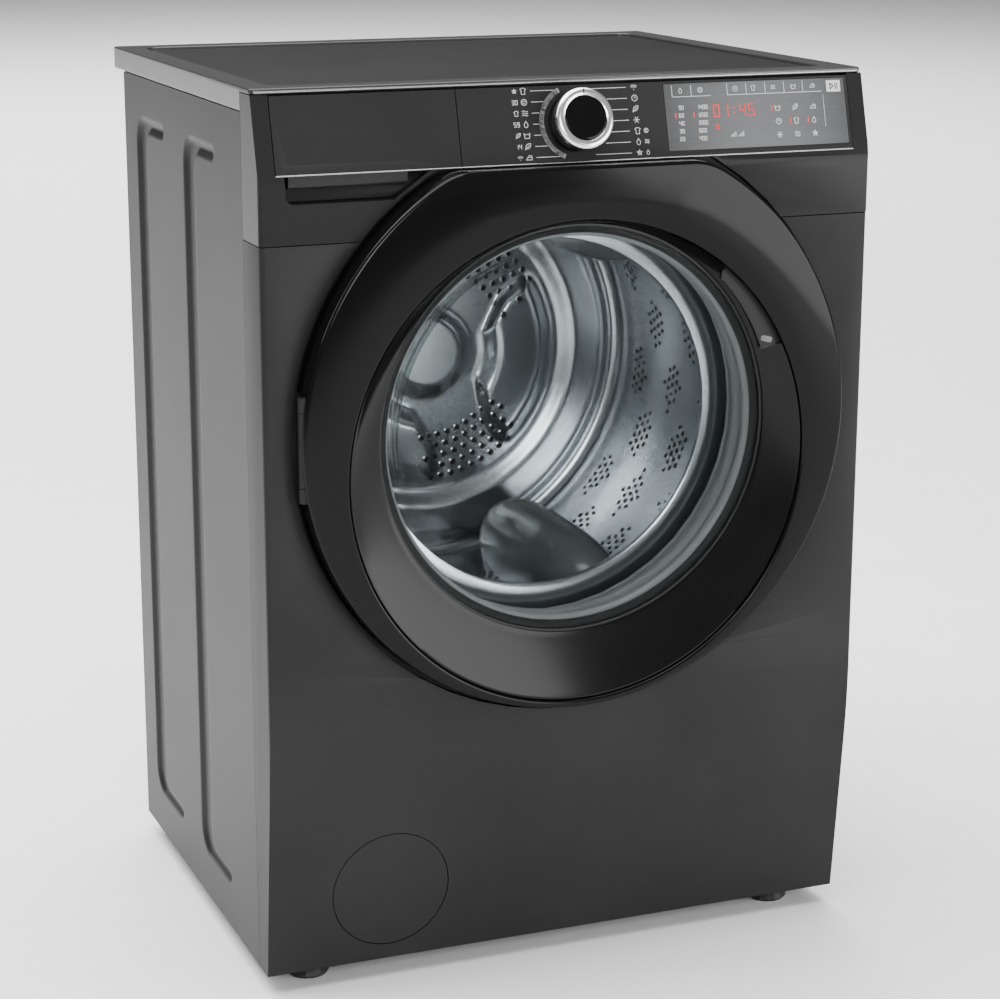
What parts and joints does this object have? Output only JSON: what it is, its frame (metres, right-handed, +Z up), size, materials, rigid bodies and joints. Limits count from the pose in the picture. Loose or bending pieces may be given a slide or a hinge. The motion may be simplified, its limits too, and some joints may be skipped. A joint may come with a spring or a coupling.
{
  "type": "front load washing machine",
  "caption": "Front load washing machine in graphite, with a round black glass door, a leaning control fascia, a programme knob, a detergent drawer and a full washing unit inside.",
  "frame": {"origin": "on the floor, under the middle of the overall box with the door closed", "axes": "+X right seen from the front, +Y to the rear, +Z up; the door faces -Y"},
  "size_m": [0.6, 0.54, 0.85],
  "materials": {
    "graphite_paint": "satin metallic graphite paint",
    "graphite_plastic": "satin graphite moulding",
    "dark_plastic": "semi-gloss dark grey",
    "black_plastic": "fine-grained black",
    "black_gloss": "polished black",
    "silver_panel": "brushed silver-grey",
    "chrome_trim": "satin chrome",
    "pale_plastic": "pale grey",
    "tub_plastic": "filled grey plastic",
    "door_glass": "clear, slightly grey",
    "rubber_seal": "matt grey",
    "steel": "bright stainless",
    "zinc_steel": "zinc coated",
    "cast_aluminium": "as cast",
    "cast_weight": "rough, sealed"
  },
  "bodies": {
    "cabinet": {"worktop_frame": "dark_plastic", "worktop_panel": "graphite_paint", "side_panel_left": "graphite_paint", "side_panel_right": "graphite_paint", "back_panel": "zinc_steel", "rear_cover": "zinc_steel", "base_tray": "black_plastic", "front_panel": "graphite_paint", "upper_frame": "graphite_plastic", "fascia": "dark_plastic", "display_window": "silver_panel", "drawer_housing": "pale_plastic", "control_board": "black_plastic", "hinge_bracket": "zinc_steel", "door_lock": "black_plastic", "door_gasket": "rubber_seal", "spring_left": "steel", "spring_right": "steel", "damper_cylinder_left": "black_plastic", "damper_cylinder_right": "black_plastic", "pump": "pale_plastic", "filter_surround": "black_plastic", "sump_hose": "rubber_seal", "inlet_valve": "pale_plastic", "drain_spigot": "black_plastic", "cord_gland": "black_plastic"},
    "foot_fl": {"foot_front_left": "black_plastic"},
    "foot_fr": {"foot_front_right": "black_plastic"},
    "foot_rl": {"foot_rear_left": "black_plastic"},
    "foot_rr": {"foot_rear_right": "black_plastic"},
    "filter_door": {"filter_cover": "graphite_paint"},
    "filter_plug": {"filter_cap": "black_plastic"},
    "programme_knob": {"knob": "dark_plastic", "knob_ring": "chrome_trim"},
    "detergent_drawer": {"drawer_front": "dark_plastic", "detergent_tray": "pale_plastic"},
    "door": {"door_ring": "black_gloss", "door_dish": "black_gloss", "door_back": "black_plastic", "door_glass": "door_glass", "hinge_leaf": "zinc_steel", "hinge_pin": "steel"},
    "latch": {"latch_hook": "zinc_steel"},
    "tub_unit": {"tub_front": "tub_plastic", "tub_rear": "tub_plastic", "drum_bearing": "steel", "drive_belt": "rubber_seal", "motor": "cast_aluminium", "damper_rod_left": "steel", "damper_rod_right": "steel", "top_weight": "cast_weight", "front_weight": "cast_weight", "heater": "steel"},
    "drum_unit": {"drum": "steel", "lifter_1": "pale_plastic", "lifter_2": "pale_plastic", "lifter_3": "pale_plastic", "drum_spider": "cast_aluminium", "drum_pulley": "cast_aluminium"},
    "motor_rotor": {"motor_pulley": "steel"}
  },
  "joints": [
    {"name": "door_hinge", "type": "hinge", "parent": "cabinet", "child": "door", "pos_m": [-0.266, -0.26, 0.5345], "axis": [0, 0, -1], "range_deg": [0, 135]},
    {"name": "latch_pivot", "type": "hinge", "parent": "door", "child": "latch", "pos_m": [0.239, -0.246, 0.5345], "axis": [0, 0, 1], "range_deg": [0, 8], "stiffness_Nm_per_rad": 0.6, "springref_deg": -2.86},
    {"name": "drawer_slide", "type": "slide", "parent": "cabinet", "child": "detergent_drawer", "axis": [0, -1, 0], "range_m": [0, 0.2]},
    {"name": "knob_turn", "type": "hinge", "parent": "cabinet", "child": "programme_knob", "pos_m": [0.002, -0.2375, 0.8105], "axis": [0, -0.9641, 0.2655], "continuous": true},
    {"name": "filter_door_hinge", "type": "hinge", "parent": "cabinet", "child": "filter_door", "pos_m": [-0.179, -0.2274, 0.037], "axis": [1, 0, 0], "range_deg": [0, 84]},
    {"name": "filter_plug_turn", "type": "hinge", "parent": "cabinet", "child": "filter_plug", "pos_m": [-0.179, -0.2, 0.093], "axis": [0, -1, 0], "range_deg": [0, 180]},
    {"name": "tub_bounce", "type": "slide", "parent": "cabinet", "child": "tub_unit", "axis": [0, 0, 1], "range_m": [-0.01, 0.01], "stiffness_N_per_m": 14000, "springref_m": 0.025, "deforming": ["spring_left", "spring_right", "door_gasket", "sump_hose"]},
    {"name": "drum_spin", "type": "hinge", "parent": "tub_unit", "child": "drum_unit", "pos_m": [0, 0.019, 0.5275], "axis": [0, 1, 0], "continuous": true},
    {"name": "motor_spin", "type": "hinge", "parent": "tub_unit", "child": "motor_rotor", "pos_m": [0.06, 0.193, 0.20809], "axis": [0, 1, 0], "continuous": true},
    {"name": "foot_fl_turn", "type": "hinge", "parent": "cabinet", "child": "foot_fl", "pos_m": [-0.248, -0.184, 0.02], "axis": [0, 0, 1], "continuous": true},
    {"name": "foot_fr_turn", "type": "hinge", "parent": "cabinet", "child": "foot_fr", "pos_m": [0.248, -0.184, 0.02], "axis": [0, 0, 1], "continuous": true},
    {"name": "foot_rl_turn", "type": "hinge", "parent": "cabinet", "child": "foot_rl", "pos_m": [-0.248, 0.177, 0.02], "axis": [0, 0, 1], "continuous": true},
    {"name": "foot_rr_turn", "type": "hinge", "parent": "cabinet", "child": "foot_rr", "pos_m": [0.248, 0.177, 0.02], "axis": [0, 0, 1], "continuous": true}
  ],
  "couplings": [
    {"joint": "motor_spin", "follows": "drum_spin", "ratio": 12.727}
  ]
}
